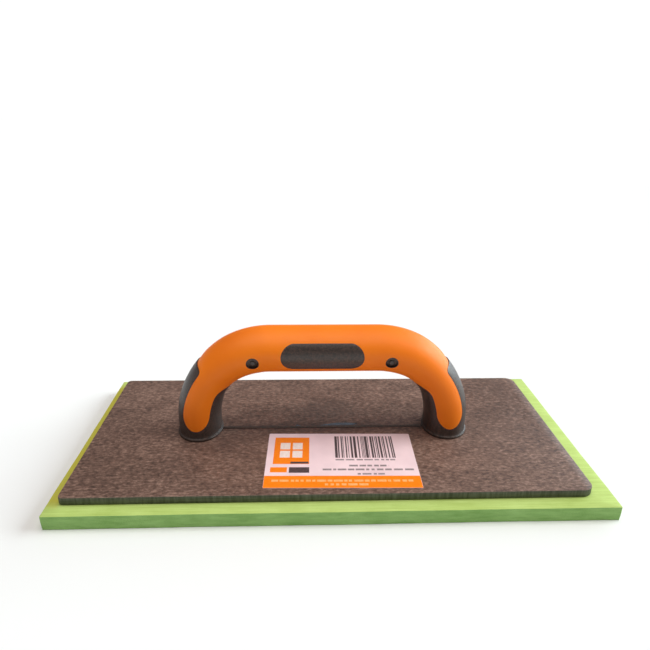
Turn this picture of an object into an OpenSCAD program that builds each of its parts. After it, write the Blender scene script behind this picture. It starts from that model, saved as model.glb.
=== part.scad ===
// Grout float: a cellular rubber pad glued under a stiff board, with a bow handle screwed on top.
// The handle is a hard plastic bow with a soft skin moulded over its grip.
// Millimetres, +Z up. Origin: middle of the pad's working face, in the plane it rests on.
// +X runs along the pad's length, and -Y is the side that carries the label.

/* [Pad] */
// Length of the rubber pad
pad_l = 280; // [240:1:400]
// Width of the rubber pad
pad_w = 140; // [130:1:180]
// Thickness of the rubber pad
pad_t = 8; // [5:0.5:20]
// Thickness of the glue film between the pad and the board
glue_t = 0.3; // [0.2:0.1:0.6]

/* [Board] */
// How much shorter the board is than the pad
board_less_l = 16; // [6:1:30]
// How much narrower the board is than the pad
board_less_w = 15; // [6:1:30]
// Thickness of the board
board_t = 4; // [3.5:0.5:8]
// Radius of the board's two corners at the right end
board_r = 6; // [1:0.5:15]
// Radius of the board's two corners at the left end
board_left_r = 2.5; // [1:0.5:15]
// How far the board lies off the pad's middle, along the length
board_dx = -2.3; // [-2.8:0.1:2.8]
// How far the board lies off the pad's middle, across the width
board_dy = 0.6; // [-2.8:0.1:2.8]

/* [Handle] */
// Height of the grip's centre line above the board
grip_rise = 50.8; // [48:0.1:70]
// Length of the straight stretch of the grip
grip_l = 59.6; // [50:0.2:90]
// Radius of each shoulder, on the handle's centre line
shoulder_r = 41.2; // [38:0.2:46]
// Height of the handle's oval section, across the bow
section_h = 25.4; // [22:0.2:28]
// Depth of the handle's oval section, from front to back
section_d = 29; // [28.5:0.5:34]
// How far the handle's middle lies off the board's middle, along the length
handle_dx = -1.8; // [-5:0.1:5]
// Height of the thin tie strip that joins the two feet
tie_h = 0.8; // [0.6:0.1:3]
// Width of the tie strip
tie_w = 2; // [1.5:0.5:8]
// Height of the lip around each foot
lip_h = 1.6; // [1:0.2:3]
// How far the lip stands out from the foot
lip_out = 0.8; // [0.4:0.1:1.5]

/* [Soft skin] */
// Thickness of the soft skin over the hard bow
skin_t = 3; // [2:0.5:4]
// Width of the round-ended tongue of skin on each leg
tongue_w = 15.4; // [10:0.2:16]
// Angle round the shoulder at which the tongue's round end begins
tongue_end_a = 82; // [75:1:89]
// Length of the tongue's round end
tongue_tip = 9.4; // [7:0.2:10]
// Angle around the shoulder at which the skin's cut edge meets the outside of the tongue
skin_out_a = 49; // [42:0.5:56]
// Angle around the shoulder at which the skin's cut edge meets the inside of the tongue
skin_in_a = 54; // [50:0.5:66]
// Length of the long window that shows the hard bow
window_l = 45; // [30:1:56]
// Height of the long window
window_h = 15; // [8:0.5:17]
// Diameter of the round window on each side of the long one
dot_d = 7; // [4:0.5:8]
// Distance between the two round windows
dot_pitch = 75; // [66:1:80]
// How far the round windows sit below the grip's centre line
dot_drop = 3.3; // [0:0.1:4]
// How far all three windows lie off the grip's middle, along the length
window_dx = -1.2; // [-2:0.1:2]

/* [Screws] */
// Diameter of the screw shank
screw_d = 4; // [3:0.5:5]
// Length of each screw, head included
screw_l = 22; // [14:1:26]
// Distance between the two screws of one foot
screw_pitch = 13; // [10:1:16]

/* [Label] */
// Length of the paper label
label_l = 80; // [40:1:90]
// Width of the paper label
label_w = 50; // [20:1:52]
// Thickness of the paper label
label_t = 0.15; // [0.1:0.05:0.3]
// Turn of the label on the board, in degrees
label_turn = -1.2; // [-3:0.1:3]

/* [Hidden] */
$fn = 64;

board_l = pad_l - board_less_l;
board_w = pad_w - board_less_w;
board_z = pad_t + glue_t;
top_z = board_z + board_t;
glue_in = 1.5;

// The handle's frame: middle of the handle, on the board's top face
handle_at = [board_dx + handle_dx, board_dy, top_z];
half_grip = grip_l / 2;
bend_z = grip_rise - shoulder_r;
foot_x = half_grip + shoulder_r;
past = 10;
oval_sides = 36;
arc_steps = 8;
reach = 2 * (half_grip + shoulder_r + section_h);

screw_head_d = 2 * screw_d;
screw_play = 0.1;
recess_w = 1;
recess_deep = 1.5;
label_gap = 4.5;
label_dx = 6.7;
label_at = [board_dx + label_dx, board_dy - board_w / 2 + label_gap + label_w / 2, top_z];

// ---- Shapes used by more than one part ----

// A flat plate with rounded corners, standing on z = 0
module rounded_plate(length, width, thick, left_r, right_r) {
    linear_extrude(thick)
        union() {
            translate([left_r - length / 2, -width / 2])
                square([length - left_r - right_r, width]);
            for (end = [[-1, left_r], [1, right_r]])
                translate([end[0] * (length / 2 - end[1]), 0]) {
                    square([2 * end[1], width - 2 * end[1]], center = true);
                    for (side = [-1, 1])
                        translate([0, side * (width / 2 - end[1])])
                            circle(end[1]);
                }
        }
}

// A long window's outline with fully round ends, lying along X
module slot_outline(long, high) {
    union() {
        square([long - high, high], center = true);
        for (side = [-1, 1])
            translate([side * (long - high) / 2, 0])
                circle(high / 2);
    }
}

// An oval with flat-sided edges, which keeps every swept face simple
module oval(high, deep) {
    polygon([
        for (i = [0 : oval_sides - 1])
            let (turn = (i + 0.5) * 360 / oval_sides)
                [high / 2 * cos(turn), deep / 2 * sin(turn)]
    ]);
}

// The handle's oval section, drawn in from its full size by inset
module section(inset) {
    oval(section_h - 2 * inset, section_d - 2 * inset);
}

// One shoulder and its straight leg, down past the board's top
module shoulder_and_leg(inset) {
    translate([half_grip, 0, bend_z])
        rotate([90, 0, 0])
            rotate_extrude(angle = 90)
                translate([shoulder_r, 0])
                    section(inset);
    translate([foot_x, 0, -past])
        linear_extrude(past + bend_z)
            section(inset);
}

// The whole bow, cut flat at the board's top
module bow(inset) {
    difference() {
        union() {
            translate([-half_grip, 0, grip_rise])
                rotate([0, 90, 0])
                    linear_extrude(grip_l)
                        section(inset);
            shoulder_and_leg(inset);
            mirror([1, 0, 0])
                shoulder_and_leg(inset);
        }
        translate([-reach / 2, -section_d, -2 * past])
            cube([reach, 2 * section_d, 2 * past]);
    }
}

// A point on the right shoulder, at a distance from its centre and an angle from upright
function on_shoulder(radius, angle) = [half_grip + radius * sin(angle), bend_z + radius * cos(angle)];

// Front view of the soft skin's edge on the right half, from the grip's inside to its outside
function skin_edge() =
    let (
        half_w = tongue_w / 2,
        centre = on_shoulder(shoulder_r, tongue_end_a),
        out = [sin(tongue_end_a), cos(tongue_end_a)],
        down = [cos(tongue_end_a), -sin(tongue_end_a)],
        first = on_shoulder(shoulder_r - half_w, skin_in_a),
        last = on_shoulder(shoulder_r + half_w, skin_out_a),
        inner = [for (i = [0 : arc_steps]) skin_in_a + (tongue_end_a - skin_in_a) * i / arc_steps],
        outer = [for (i = [0 : arc_steps]) tongue_end_a - (tongue_end_a - skin_out_a) * i / arc_steps],
        tip = [for (i = [1 : 2 * arc_steps - 1]) 90 * i / arc_steps]
    )
    concat(
        [first - [section_h, 0]],
        [for (angle = inner) on_shoulder(shoulder_r - half_w, angle)],
        [for (turn = tip) centre - half_w * cos(turn) * out + tongue_tip * sin(turn) * down],
        [for (angle = outer) on_shoulder(shoulder_r + half_w, angle)],
        [last + [section_h, section_h / 2]],
        [last + [section_h, reach]]
    );

// Front view of the soft skin: all of the grip, and a tongue down each leg
module skin_outline() {
    edge = skin_edge();
    last = len(edge) - 1;
    polygon(concat(edge, [for (i = [0 : last]) [-edge[last - i][0], edge[last - i][1]]]));
}

// The windows through the skin, in front view
module window_outlines() {
    translate([window_dx, grip_rise])
        slot_outline(window_l, window_h);
    for (side = [-1, 1])
        translate([window_dx + side * dot_pitch / 2, grip_rise - dot_drop])
            circle(dot_d / 2);
}

// Turns a front view outline into a block right through the handle
module through_handle() {
    rotate([90, 0, 0])
        linear_extrude(2 * section_d, center = true)
            children();
}

// Everything that the soft skin may fill
module skin_room() {
    difference() {
        through_handle()
            skin_outline();
        through_handle()
            window_outlines();
        bow(skin_t);
    }
}

// Puts a child at each screw's place, with z = 0 on the board's underside
module at_screws() {
    for (side = [-1, 1], row = [-1, 1])
        translate([handle_at[0] + side * foot_x, handle_at[1] + row * screw_pitch / 2, board_z])
            children();
}

// ---- The parts ----

// The green rubber pad that wipes the joints
module foam_pad() {
    color("yellowgreen")
        translate([-pad_l / 2, -pad_w / 2, 0])
            cube([pad_l, pad_w, pad_t]);
}

// The glue film, a little inside the board's edge
module pad_glue() {
    color("khaki")
        translate([board_dx, board_dy, pad_t])
            rounded_plate(
                board_l - 2 * glue_in, board_w - 2 * glue_in, glue_t,
                board_left_r - glue_in / 2, board_r - glue_in / 2
            );
}

// The stiff board, drilled and countersunk from below for the screws
module backing_board() {
    hole_d = screw_d + 4 * screw_play;
    sink_d = screw_head_d + 2 * screw_play;
    color("rosybrown")
        difference() {
            translate([board_dx, board_dy, board_z])
                rounded_plate(board_l, board_w, board_t, board_left_r, board_r);
            at_screws() {
                translate([0, 0, -1])
                    cylinder(d = hole_d, h = board_t + 2);
                translate([0, 0, -1])
                    cylinder(d = sink_d, h = 1 + 2 * screw_play);
                translate([0, 0, 2 * screw_play])
                    cylinder(d1 = sink_d, d2 = hole_d, h = (sink_d - hole_d) / 2);
            }
        }
}

// One countersunk screw with a cross recess, head down
module screw() {
    rim_h = 0.2;
    head_h = (screw_head_d - screw_d) / 2;
    tip_h = screw_d;
    difference() {
        union() {
            cylinder(d = screw_head_d, h = rim_h);
            translate([0, 0, rim_h])
                cylinder(d1 = screw_head_d, d2 = screw_d, h = head_h);
            translate([0, 0, rim_h + head_h])
                cylinder(d = screw_d, h = screw_l - rim_h - head_h - tip_h);
            translate([0, 0, screw_l - tip_h])
                cylinder(d1 = screw_d, d2 = screw_d / 4, h = tip_h);
        }
        for (turn = [0, 90])
            rotate([0, 0, turn])
                translate([-screw_d / 2, -recess_w / 2, -1])
                    cube([screw_d, recess_w, 1 + recess_deep]);
    }
}

// The four screws that pull the handle's feet onto the board
module screws() {
    color("silver")
        at_screws()
            screw();
}

// The hard bow: spine inside the grip, legs, feet with their lips, and the tie strip
module handle_core() {
    color("dimgray")
        difference() {
            translate(handle_at) {
                difference() {
                    bow(0);
                    skin_room();
                }
                for (side = [-1, 1])
                    translate([side * foot_x, 0, 0])
                        linear_extrude(lip_h)
                            oval(section_h + 2 * lip_out, section_d + 2 * lip_out);
                translate([-foot_x, 0, 0])
                    rotate([90, 0, 90])
                        linear_extrude(2 * foot_x)
                            polygon([
                                [-tie_w / 2, 0], [tie_w / 2, 0], [tie_w / 2, tie_h / 2],
                                [tie_w / 4, tie_h], [-tie_w / 4, tie_h], [-tie_w / 2, tie_h / 2]
                            ]);
            }
            at_screws()
                cylinder(d = screw_d + 2 * screw_play, h = screw_l + screw_play);
        }
}

// The soft skin moulded over the bow
module grip_skin() {
    color("darkorange")
        translate(handle_at)
            intersection() {
                bow(0);
                skin_room();
            }
}

// The paper label on the board, in front of the handle
module label() {
    color("mistyrose")
        translate(label_at)
            rotate([0, 0, label_turn])
                translate([-label_l / 2, -label_w / 2, 0])
                    cube([label_l, label_w, label_t]);
}

foam_pad();
pad_glue();
backing_board();
screws();
handle_core();
grip_skin();
label();
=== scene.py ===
"""The finished look of a grout float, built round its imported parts.

A green cellular rubber pad is glued under a brown fibre board. A bow handle stands on the
board: a hard dark bow with an orange soft skin moulded over its grip. A paper label is stuck
on the board in front of the handle. Nothing on the float moves, so every piece rides "root".
"""

import logging
import math
import random
from collections.abc import Callable, Iterator
from contextlib import contextmanager
from dataclasses import dataclass
from enum import Enum

import bpy
from mathutils import Matrix, Vector


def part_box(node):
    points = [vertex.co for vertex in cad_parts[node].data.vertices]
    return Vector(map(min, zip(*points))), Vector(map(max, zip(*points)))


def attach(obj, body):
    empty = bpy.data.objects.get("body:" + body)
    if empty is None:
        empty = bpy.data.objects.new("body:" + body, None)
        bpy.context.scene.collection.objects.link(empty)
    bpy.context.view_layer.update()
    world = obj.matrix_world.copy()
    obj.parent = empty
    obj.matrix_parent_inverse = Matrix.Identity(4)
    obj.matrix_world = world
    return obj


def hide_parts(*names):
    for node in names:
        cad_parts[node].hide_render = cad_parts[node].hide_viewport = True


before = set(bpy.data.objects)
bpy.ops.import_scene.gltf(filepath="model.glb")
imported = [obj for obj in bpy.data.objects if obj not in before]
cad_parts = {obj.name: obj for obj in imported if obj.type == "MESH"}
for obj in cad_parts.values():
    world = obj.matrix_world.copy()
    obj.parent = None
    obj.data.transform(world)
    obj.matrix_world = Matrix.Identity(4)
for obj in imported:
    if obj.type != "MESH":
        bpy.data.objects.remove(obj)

MM = 0.001
HAIR = 0.01 * MM  # places closer than this count as the same
BEND_STEPS = 12  # steps in a drawn bend
NOISE = (0.3, 0.7)  # nearly all of a noise's values lie between these
WAVES = ((0.5, 47, 1.0), (0.3, 131, 2.3), (0.2, 307, 4.1))  # share, pitch and shift of each
LOG = logging.getLogger("grout_float")

Piece = bpy.types.Object
Edge = bpy.types.MeshEdge
Material = bpy.types.Material
Socket = bpy.types.NodeSocket
Colour = tuple[float, float, float]
Corner = tuple[float, float]
Span = tuple[float, float]
Area = tuple[float, float, float, float]


# ---- Working with meshes ----


class Pick(Enum):
    """What an edit-mode selection is made of, with its place in the select-mode triple."""

    CORNERS = 0
    EDGES = 1
    FACES = 2


def put_down() -> None:
    """Leaves edit mode and deselects everything."""
    active = bpy.context.view_layer.objects.active
    if active is not None and active.mode != "OBJECT":
        bpy.ops.object.mode_set(mode="OBJECT")
    bpy.ops.object.select_all(action="DESELECT")


def take(*pieces: Piece) -> None:
    """Selects only the given pieces and makes the first one active."""
    put_down()
    for piece in pieces:
        piece.select_set(True)
    bpy.context.view_layer.objects.active = pieces[0]


def choose(piece: Piece, pick: Pick, test: Callable[[object], bool]) -> int:
    """Selects the corners, edges or faces of a piece that pass a test.

    Args:
        piece: The piece, in object mode.
        pick: What the selection is made of.
        test: Says of one vertex, edge or polygon whether it is wanted.

    Returns:
        How many were selected.
    """
    mesh = piece.data
    for part in (mesh.vertices, mesh.edges, mesh.polygons):
        part.foreach_set("select", [False] * len(part))
    bpy.context.tool_settings.mesh_select_mode = tuple(pick.value == i for i in range(3))
    wanted = [mesh.vertices, mesh.edges, mesh.polygons][pick.value]
    found = [item for item in wanted if test(item)]
    for item in found:
        item.select = True
    return len(found)


@contextmanager
def editing(piece: Piece) -> Iterator[None]:
    """Opens a piece in edit mode with its selection kept, and closes it again.

    Args:
        piece: The piece.
    """
    take(piece)
    bpy.ops.object.mode_set(mode="EDIT")
    yield
    bpy.ops.object.mode_set(mode="OBJECT")


def settle(piece: Piece) -> None:
    """Moves the piece's place, turn and size into its mesh."""
    take(piece)
    bpy.ops.object.transform_apply(location=True, rotation=True, scale=True)


def added(name: str) -> Piece:
    """Names the primitive that was just added and settles it.

    Args:
        name: The new piece's name.

    Returns:
        The new piece.
    """
    piece = bpy.context.view_layer.objects.active
    piece.name = name
    piece.data.name = name
    settle(piece)
    return piece


def block(name: str, low: Vector, high: Vector) -> Piece:
    """Adds a block between two corners.

    Args:
        name: The piece's name.
        low: Its lowest corner.
        high: Its highest corner.

    Returns:
        The block.
    """
    put_down()
    bpy.ops.mesh.primitive_cube_add(size=1.0, location=(low + high) / 2)
    bpy.context.view_layer.objects.active.scale = high - low
    return added(name)


def soften(piece: Piece, radius: float, segments: int, test: Callable[[Edge], bool]) -> None:
    """Rounds the edges that pass a test.

    Args:
        piece: The piece.
        radius: Size of the rounding.
        segments: Steps in the rounding.
        test: Says of one edge whether it is rounded.
    """
    choose(piece, Pick.EDGES, test)
    with editing(piece):
        bpy.ops.mesh.bevel(offset=radius, segments=segments, affect="EDGES", clamp_overlap=True)


def finish_modifier(piece: Piece, kind: str, **settings: object) -> None:
    """Adds a modifier, sets it up and applies it.

    Args:
        piece: The piece.
        kind: Blender's name for the modifier.
        settings: Its settings.
    """
    take(piece)
    modifier = piece.modifiers.new(kind.lower(), kind)
    for key, value in settings.items():
        setattr(modifier, key, value)
    bpy.ops.object.modifier_apply(modifier=modifier.name)


def cut(piece: Piece, tool: Piece, how: str = "DIFFERENCE", keep: bool = False) -> None:
    """Cuts one solid with another.

    Args:
        piece: The solid that is changed.
        tool: The solid that cuts.
        how: DIFFERENCE, INTERSECT or UNION.
        keep: Whether the tool stays.
    """
    finish_modifier(piece, "BOOLEAN", operation=how, solver="EXACT", object=tool)
    if not keep:
        throw_away(tool)


def throw_away(piece: Piece) -> None:
    """Removes a scratch solid with its mesh.

    Args:
        piece: The solid.
    """
    mesh = piece.data
    bpy.data.objects.remove(piece)
    bpy.data.meshes.remove(mesh)


def copy_of(piece: Piece, name: str) -> Piece:
    """Copies a piece with a mesh of its own.

    Args:
        piece: The piece.
        name: The copy's name.

    Returns:
        The copy.
    """
    twin = piece.copy()
    twin.data = piece.data.copy()
    twin.name = name
    twin.data.name = name
    bpy.context.collection.objects.link(twin)
    return twin


def smooth(piece: Piece, angle: float = 35.0) -> None:
    """Shades a piece smooth except across edges sharper than an angle in degrees."""
    take(piece)
    bpy.ops.object.shade_smooth_by_angle(angle=math.radians(angle))


def is_upright(piece: Piece, edge: Edge) -> bool:
    """Says whether an edge runs up and down."""
    first, last = (piece.data.vertices[i].co for i in edge.vertices)
    return abs(first.z - last.z) > HAIR


def bend_end(side: list[Corner], near: Vector, reach: float) -> tuple[Vector, list[Corner]]:
    """Finds where a bend leaves a drawn line on one side of its corner.

    Args:
        side: The line's points on that side, from the corner outwards.
        near: The corner.
        reach: How far the bend reaches along the line.

    Returns:
        The bend's end, and that side's points beyond it, from the corner outwards.
    """
    if len(side) == 1:
        return near + (Vector(side[0]) - near).normalized() * reach, side
    beyond = [p for p in side if (Vector(p) - near).length > reach]
    return Vector(beyond[0]), beyond[1:]


def bend_round(line: list[Corner], corner: Corner, reach: float) -> list[Corner]:
    """Replaces one sharp corner of a drawn line with a smooth bend.

    Args:
        line: The line's points.
        corner: The point to ease away.
        reach: How far the bend reaches along the line on each side.

    Returns:
        The line with the bend in it.
    """
    at = line.index(corner)
    near = Vector(corner)
    start, before = bend_end(line[:at][::-1], near, reach)
    finish, after = bend_end(line[at + 1:], near, reach)
    bend = []
    for step in range(BEND_STEPS + 1):
        t = step / BEND_STEPS
        bend.append(tuple((1 - t) ** 2 * start + 2 * t * (1 - t) * near + t**2 * finish))
    return before[::-1] + bend + after


def ease(value: float, start: float, end: float) -> float:
    """Goes smoothly from 0 at start to 1 at end."""
    t = min(1.0, max(0.0, (value - start) / (end - start)))
    return t * t * (3 - 2 * t)


def wander(along: float, seed: float) -> float:
    """A slow uneven line between about -1 and 1, for hand-cut and hand-spread edges."""
    return sum(share * math.sin(along * pitch + shift * seed) for share, pitch, shift in WAVES)


def deliver(piece: Piece, slot: str, *nodes: str) -> None:
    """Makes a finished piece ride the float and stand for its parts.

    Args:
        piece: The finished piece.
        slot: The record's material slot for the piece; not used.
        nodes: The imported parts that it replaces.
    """
    if nodes:
        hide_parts(*nodes)
    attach(piece, "root")
    faces = len(piece.data.polygons)
    LOG.info("%s: %d faces, stands for %s", piece.name, faces, ", ".join(nodes) or "trim")


# ---- Finishes ----


class Bench:
    """Lays out the shader nodes of one finish."""

    def __init__(self, name: str) -> None:
        """Starts a material with a bare shader and the object's own coordinates.

        Args:
            name: The material's name.
        """
        self.material = bpy.data.materials.new(name)
        self.material.use_nodes = True
        self.tree = self.material.node_tree
        self.tree.nodes.clear()
        self.shader = self.add("ShaderNodeBsdfPrincipled")
        out = self.add("ShaderNodeOutputMaterial")
        self.wire(self.shader.outputs["BSDF"], out.inputs["Surface"])
        self.place = self.add("ShaderNodeTexCoord").outputs["Object"]

    def add(self, kind: str, **settings: object) -> bpy.types.Node:
        """Adds a node with its settings.

        Args:
            kind: Blender's name for the node.
            settings: Its settings.

        Returns:
            The node.
        """
        node = self.tree.nodes.new(kind)
        for key, value in settings.items():
            setattr(node, key, value)
        return node

    def along(self, axis: str) -> Socket:
        """The place along one axis, in metres.

        Args:
            axis: X, Y or Z.

        Returns:
            The place.
        """
        split = self.add("ShaderNodeSeparateXYZ")
        self.wire(self.place, split.inputs["Vector"])
        return split.outputs[axis]

    def far_from(self, centre: Vector, reach: Vector) -> Socket:
        """The distance from a spot, 1 at its own reach along each axis.

        Args:
            centre: The middle of the spot, in metres.
            reach: How far it reaches along each axis, in metres.

        Returns:
            The distance.
        """
        off = self.add("ShaderNodeVectorMath", operation="SUBTRACT")
        off.inputs[1].default_value = centre
        self.wire(self.place, off.inputs[0])
        share = self.add("ShaderNodeVectorMath", operation="DIVIDE")
        share.inputs[1].default_value = reach
        self.wire(off.outputs["Vector"], share.inputs[0])
        far = self.add("ShaderNodeVectorMath", operation="LENGTH")
        self.wire(share.outputs["Vector"], far.inputs[0])
        return far.outputs["Value"]

    def wire(self, source: Socket, target: Socket) -> None:
        """Joins an output to an input."""
        self.tree.links.new(source, target)

    def set(self, **values: object) -> None:
        """Sets the shader's own sockets; an underscore stands for a space."""
        for key, value in values.items():
            self.shader.inputs[key.replace("_", " ")].default_value = value

    def in_flecks(self, size: Vector) -> Socket:
        """The place counted in flecks of a size in millimetres along each axis.

        Args:
            size: The size of one fleck.

        Returns:
            The counted place.
        """
        mapping = self.add("ShaderNodeMapping")
        mapping.inputs["Scale"].default_value = Vector([1000 / s for s in size])
        self.wire(self.place, mapping.inputs["Vector"])
        return mapping.outputs["Vector"]

    def grain(self, size: Vector, detail: float, rough: float, bend: float = 0.0) -> Socket:
        """Adds uneven noise of a given size.

        Args:
            size: Length of one fleck along each axis, in millimetres.
            detail: How many finer layers it has.
            rough: How strong the finer layers are.
            bend: How much it swirls.

        Returns:
            The noise as a value near 0.5.
        """
        noise = self.add("ShaderNodeTexNoise")
        noise.inputs["Scale"].default_value = 1.0
        noise.inputs["Detail"].default_value = detail
        noise.inputs["Roughness"].default_value = rough
        noise.inputs["Distortion"].default_value = bend
        self.wire(self.in_flecks(size), noise.inputs["Vector"])
        return noise.outputs["Fac"]

    def cells(self, size: Vector) -> Socket:
        """Adds small round cells of a size in millimetres, as a distance from each one's middle.

        Args:
            size: The size of one cell.

        Returns:
            The distance.
        """
        pores = self.add("ShaderNodeTexVoronoi")
        pores.inputs["Scale"].default_value = 1.0
        self.wire(self.in_flecks(size), pores.inputs["Vector"])
        return pores.outputs["Distance"]

    def spread(self, value: Socket, low: float, high: float, to_low: float, to_high: float) -> Socket:
        """Stretches a value from one range to another and clips it there.

        Args:
            value: The value.
            low: The first range's start.
            high: The first range's end.
            to_low: What the start becomes.
            to_high: What the end becomes.

        Returns:
            The stretched value.
        """
        node = self.add("ShaderNodeMapRange")
        ends = {"From Min": low, "From Max": high, "To Min": to_low, "To Max": to_high}
        for key, number in ends.items():
            node.inputs[key].default_value = number
        self.wire(value, node.inputs["Value"])
        return node.outputs["Result"]

    def vary(self, noise: Socket, low: float, high: float) -> Socket:
        """Lets a value wander between two numbers with a noise."""
        return self.spread(noise, *NOISE, low, high)

    def mottle(self, noise: Socket, first: Colour, second: Colour) -> Socket:
        """Lets a colour wander between two with a noise."""
        return self.ramp(noise, (NOISE[0], first), (NOISE[1], second))

    def join(self, first: Socket, second: Socket, how: str) -> Socket:
        """Combines two values.

        Args:
            first: One value.
            second: The other.
            how: Blender's name for the math operation.

        Returns:
            The result.
        """
        node = self.add("ShaderNodeMath", operation=how)
        self.wire(first, node.inputs[0])
        self.wire(second, node.inputs[1])
        return node.outputs["Value"]

    def ramp(self, value: Socket, *stops: tuple[float, Colour]) -> Socket:
        """Turns a value into a colour.

        Args:
            value: The value.
            stops: Values with the colour at each, lowest first.

        Returns:
            The colour.
        """
        node = self.add("ShaderNodeValToRGB")
        marks = node.color_ramp.elements
        for _ in stops[2:]:
            marks.new(0.5)
        for mark, (position, colour) in zip(marks, stops):
            mark.position = position
            mark.color = (*colour, 1.0)
        self.wire(value, node.inputs["Fac"])
        return node.outputs["Color"]

    def blend(self, amount: Socket, first: Socket, second: Socket) -> Socket:
        """Mixes two colours.

        Args:
            amount: 0 for the first colour, 1 for the second.
            first: The first colour.
            second: The second colour.

        Returns:
            The mixed colour.
        """
        node = self.add("ShaderNodeMix", data_type="RGBA")
        self.wire(amount, node.inputs["Factor"])
        self.wire(first, node.inputs[6])
        self.wire(second, node.inputs[7])
        return node.outputs[2]

    def relief(self, height: Socket, depth: float, under: Socket | None = None) -> Socket:
        """Raises the surface by a height map.

        Args:
            height: The height, 0 to 1.
            depth: Its depth in millimetres.
            under: Another relief that it lies on.

        Returns:
            The bent normal.
        """
        node = self.add("ShaderNodeBump")
        node.inputs["Strength"].default_value = 1.0
        node.inputs["Distance"].default_value = depth * MM
        self.wire(height, node.inputs["Height"])
        if under is not None:
            self.wire(under, node.inputs["Normal"])
        return node.outputs["Normal"]

    def colour(self, socket: Socket) -> None:
        """Gives the shader its colour."""
        self.wire(socket, self.shader.inputs["Base Color"])

    def roughness(self, socket: Socket) -> None:
        """Gives the shader its roughness."""
        self.wire(socket, self.shader.inputs["Roughness"])

    def normal(self, socket: Socket) -> None:
        """Gives the shader its relief."""
        self.wire(socket, self.shader.inputs["Normal"])


def even(size: float) -> Vector:
    """A fleck size that is the same along all axes."""
    return Vector((size, size, size))


@dataclass(frozen=True)
class SoftSkinFinish:
    """Orange thermoplastic rubber with a fine moulded grain."""

    deep: Colour = (0.92, 0.190, 0.001)
    bright: Colour = (0.97, 0.218, 0.002)
    grain_mm: float = 0.45

    def material(self) -> Material:
        """Builds the finish."""
        bench = Bench("orange_soft_skin")
        cloud = bench.grain(even(22), 3, 0.5)
        fine = bench.grain(even(self.grain_mm), 3, 0.6)
        dust = bench.grain(even(3.5), 5, 0.6)
        bench.colour(bench.mottle(cloud, self.deep, self.bright))
        bench.roughness(bench.vary(dust, 0.46, 0.56))
        soft = bench.relief(bench.grain(even(9), 2, 0.5), 0.12)
        bench.normal(bench.relief(fine, 0.05, soft))
        bench.set(Specular_IOR_Level=0.36)
        return bench.material


@dataclass(frozen=True)
class HardPlasticFinish:
    """Dark brown-grey moulded plastic with a spark-eroded grain and pale specks."""

    dark: Colour = (0.020, 0.012, 0.009)
    pale: Colour = (0.068, 0.037, 0.027)
    grain_mm: float = 1.1

    def material(self) -> Material:
        """Builds the finish."""
        bench = Bench("dark_hard_plastic")
        specks = bench.grain(even(self.grain_mm), 4, 0.7)
        fine = bench.grain(even(0.35), 2, 0.6)
        bench.colour(bench.ramp(specks, (0.38, self.dark), (0.66, self.pale)))
        bench.roughness(bench.vary(specks, 0.34, 0.48))
        low = bench.relief(specks, 0.10)
        bench.normal(bench.relief(fine, 0.03, low))
        bench.set(Specular_IOR_Level=0.7)
        return bench.material


@dataclass(frozen=True)
class BoardFaceFinish:
    """Pressed fibre board: reddish brown, flecked, with the grip's shadow painted dark on it under the
    grip.
    """

    dark: Colour = (0.050, 0.026, 0.019)
    brown: Colour = (0.146, 0.080, 0.059)
    pale: Colour = (0.325, 0.200, 0.155)
    # The darkest colour of the shadow painted under the grip.
    painted_shadow_black: Colour = (0.030, 0.026, 0.026)
    # Where the painted shadow's patch and band lie, how far they reach and how dark they get.
    shadow_patch_at: Corner = (1.0 * MM, 16.0 * MM)
    shadow_patch_reach: Span = (33.0 * MM, 21.0 * MM)
    shadow_patch_share: float = 0.62
    shadow_band_back: float = 1.0 * MM
    shadow_band_reach: float = 9.0 * MM
    shadow_band_share: float = 0.55

    def resin(self, bench: Bench, blotch: Socket) -> Socket:
        """Paints the grip's shadow dark on the board behind the tie strip, as a patch and as a band
        along it.

        Args:
            bench: Where the finish is laid out.
            blotch: The board's coarse noise.

        Returns:
            How much painted shadow lies on each place, 0 to 1.
        """
        low, high = (Vector(c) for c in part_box("handle_core"))
        middle = (low + high) / 2
        top = Vector((middle.x, middle.y, low.z))
        patch = bench.far_from(top + Vector((*self.shadow_patch_at, 0)), Vector((*self.shadow_patch_reach, 1.0)))
        shadow_band_size = Vector(((high.x - low.x) / 2, self.shadow_band_reach, 1.0))
        band = bench.far_from(top + Vector((0, self.shadow_band_back, 0)), shadow_band_size)
        in_shadow_patch = bench.spread(patch, 0.25, 1.0, self.shadow_patch_share, 0.0)
        in_shadow_band = bench.spread(band, 0.3, 1.0, self.shadow_band_share, 0.0)
        dark = bench.join(in_shadow_patch, in_shadow_band, "MAXIMUM")
        return bench.join(dark, bench.spread(blotch, 0.3, 0.6, 1.0, 0.8), "MULTIPLY")

    def material(self) -> Material:
        """Builds the finish."""
        bench = Bench("fibre_board_face")
        fleck = bench.grain(Vector((2.6, 1.5, 2.0)), 5, 0.68, 0.3)
        blotch = bench.grain(Vector((22.0, 12.0, 20.0)), 4, 0.55, 0.5)
        thread = bench.grain(Vector((5.0, 0.7, 2.0)), 3, 0.6, 0.6)
        tone = bench.join(bench.vary(fleck, 0.0, 0.76), bench.vary(blotch, 0.0, 0.24), "ADD")
        body = bench.ramp(tone, (0.14, self.dark), (0.5, self.brown), (0.88, self.pale))
        worn = bench.ramp(thread, (0.35, self.dark), (0.65, self.pale))
        some = bench.spread(thread, 0.52, 0.75, 0.0, 0.3)
        grain = bench.blend(some, body, worn)
        # The painted shadow's colour, from near black to the board's dark brown.
        resin = bench.ramp(fleck, (0.3, self.painted_shadow_black), (0.75, self.dark))
        # The board's grain, darkened by the shadow painted under the grip.
        bench.colour(bench.blend(self.resin(bench, blotch), grain, resin))
        bench.roughness(bench.vary(fleck, 0.42, 0.58))
        low = bench.relief(fleck, 0.16)
        bench.normal(bench.relief(thread, 0.05, low))
        bench.set(Specular_IOR_Level=0.5)
        return bench.material


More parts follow.
